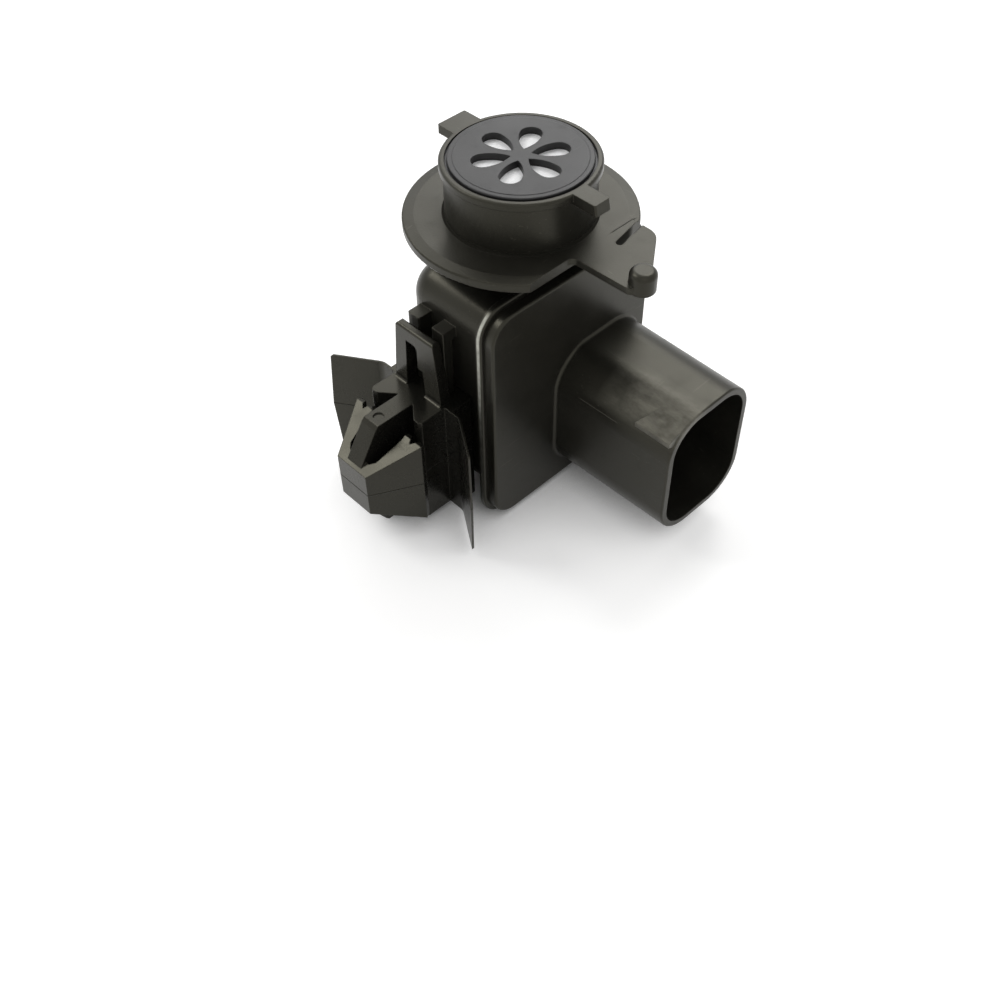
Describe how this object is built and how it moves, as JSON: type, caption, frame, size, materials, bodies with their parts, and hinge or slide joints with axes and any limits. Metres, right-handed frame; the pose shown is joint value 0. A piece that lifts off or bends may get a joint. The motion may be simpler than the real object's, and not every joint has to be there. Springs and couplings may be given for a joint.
{
  "type": "air quality sensor",
  "caption": "Ducted air quality sensor: grille nose with bayonet lugs on a flange, boxed electronics, side connector shroud and a snap-in barbed clip.",
  "frame": {"origin": "on the nose axis at the flange's seating face", "axes": "+Z along the nose axis towards the grille, +X out of the connector socket, -Y towards the snap-in clip"},
  "size_m": [0.0615, 0.0597, 0.0652],
  "materials": {
    "black_plastic": "fine moulded texture, slightly glossy",
    "clip_plastic": "smooth moulded nylon, satin",
    "seal_rubber": "smooth",
    "membrane": "matte white fleece",
    "adhesive_foam": "matte",
    "circuit_board": "solder resist, satin",
    "sensor_metal": "drawn, satin",
    "tinned_metal": "tin plated, satin",
    "header_plastic": "matte",
    "chip_plastic": "matte",
    "capacitor_can": "drawn, satin",
    "ceramic_chip": "matte"
  },
  "bodies": {
    "root": {"housing": "black_plastic", "front_cover": "black_plastic", "cover_seal": "seal_rubber", "grille_cap": "black_plastic", "filter_membrane": "membrane", "membrane_ring": "adhesive_foam", "mounting_clip": "clip_plastic", "main_board": "circuit_board", "sensor_board": "circuit_board", "sensor_base": "sensor_metal", "sensor_leads": "sensor_metal", "sensing_element": "ceramic_chip", "sensor_can": "sensor_metal", "sensor_mesh": "sensor_metal", "link_header": "header_plastic", "link_pins": "tinned_metal", "microcontroller": "chip_plastic", "voltage_regulator": "chip_plastic", "supply_capacitor": "capacitor_can", "ceramic_capacitors": "ceramic_chip", "chip_resistors": "chip_plastic", "crystal": "sensor_metal", "protection_diode": "chip_plastic", "terminal_1": "tinned_metal", "terminal_2": "tinned_metal", "terminal_3": "tinned_metal"}
  },
  "joints": []
}
